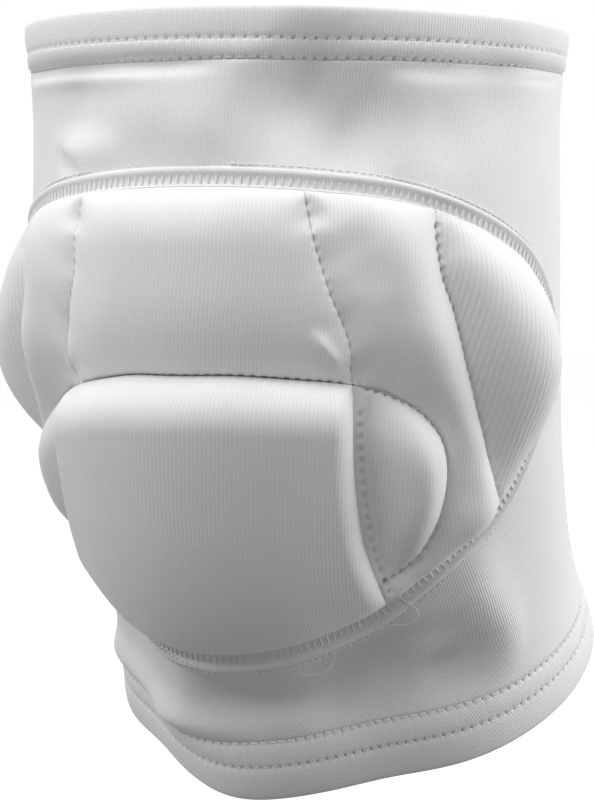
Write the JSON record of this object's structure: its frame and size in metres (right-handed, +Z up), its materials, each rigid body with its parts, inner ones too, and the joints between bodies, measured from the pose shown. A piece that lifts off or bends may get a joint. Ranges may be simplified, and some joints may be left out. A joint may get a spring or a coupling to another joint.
{
  "type": "volleyball knee pad",
  "caption": "White knit knee sleeve with folded hems and a quilted panel of foam pads over the kneecap, held in the form it has when worn on a slightly bent knee.",
  "frame": {"origin": "middle of the knee, on the centre line of the hollow that the leg goes through, half way between the two openings", "axes": "+Z up towards the thigh opening, -Y to the front of the knee, +X to the right as seen from the front"},
  "size_m": [0.1508, 0.17, 0.1972],
  "materials": {
    "sleeve_knit": "fine ribbed white stretch knit with a soft sheen",
    "hem_knit": "the same white knit, folded, with two rows of fine stitches",
    "cover_knit": "smooth white ribbed knit over foam, quilted",
    "seam_thread": "flat cover stitching in white thread"
  },
  "bodies": {
    "root": {"sleeve": "sleeve_knit", "top_hem": "hem_knit", "bottom_hem": "hem_knit", "pad_upper_center": "cover_knit", "pad_strip_left": "cover_knit", "pad_strip_right": "cover_knit", "pad_side_left": "cover_knit", "pad_side_right": "cover_knit", "pad_knee_center": "cover_knit", "pad_knee_left": "cover_knit", "pad_knee_right": "cover_knit", "cover_seam": "seam_thread"}
  },
  "joints": []
}
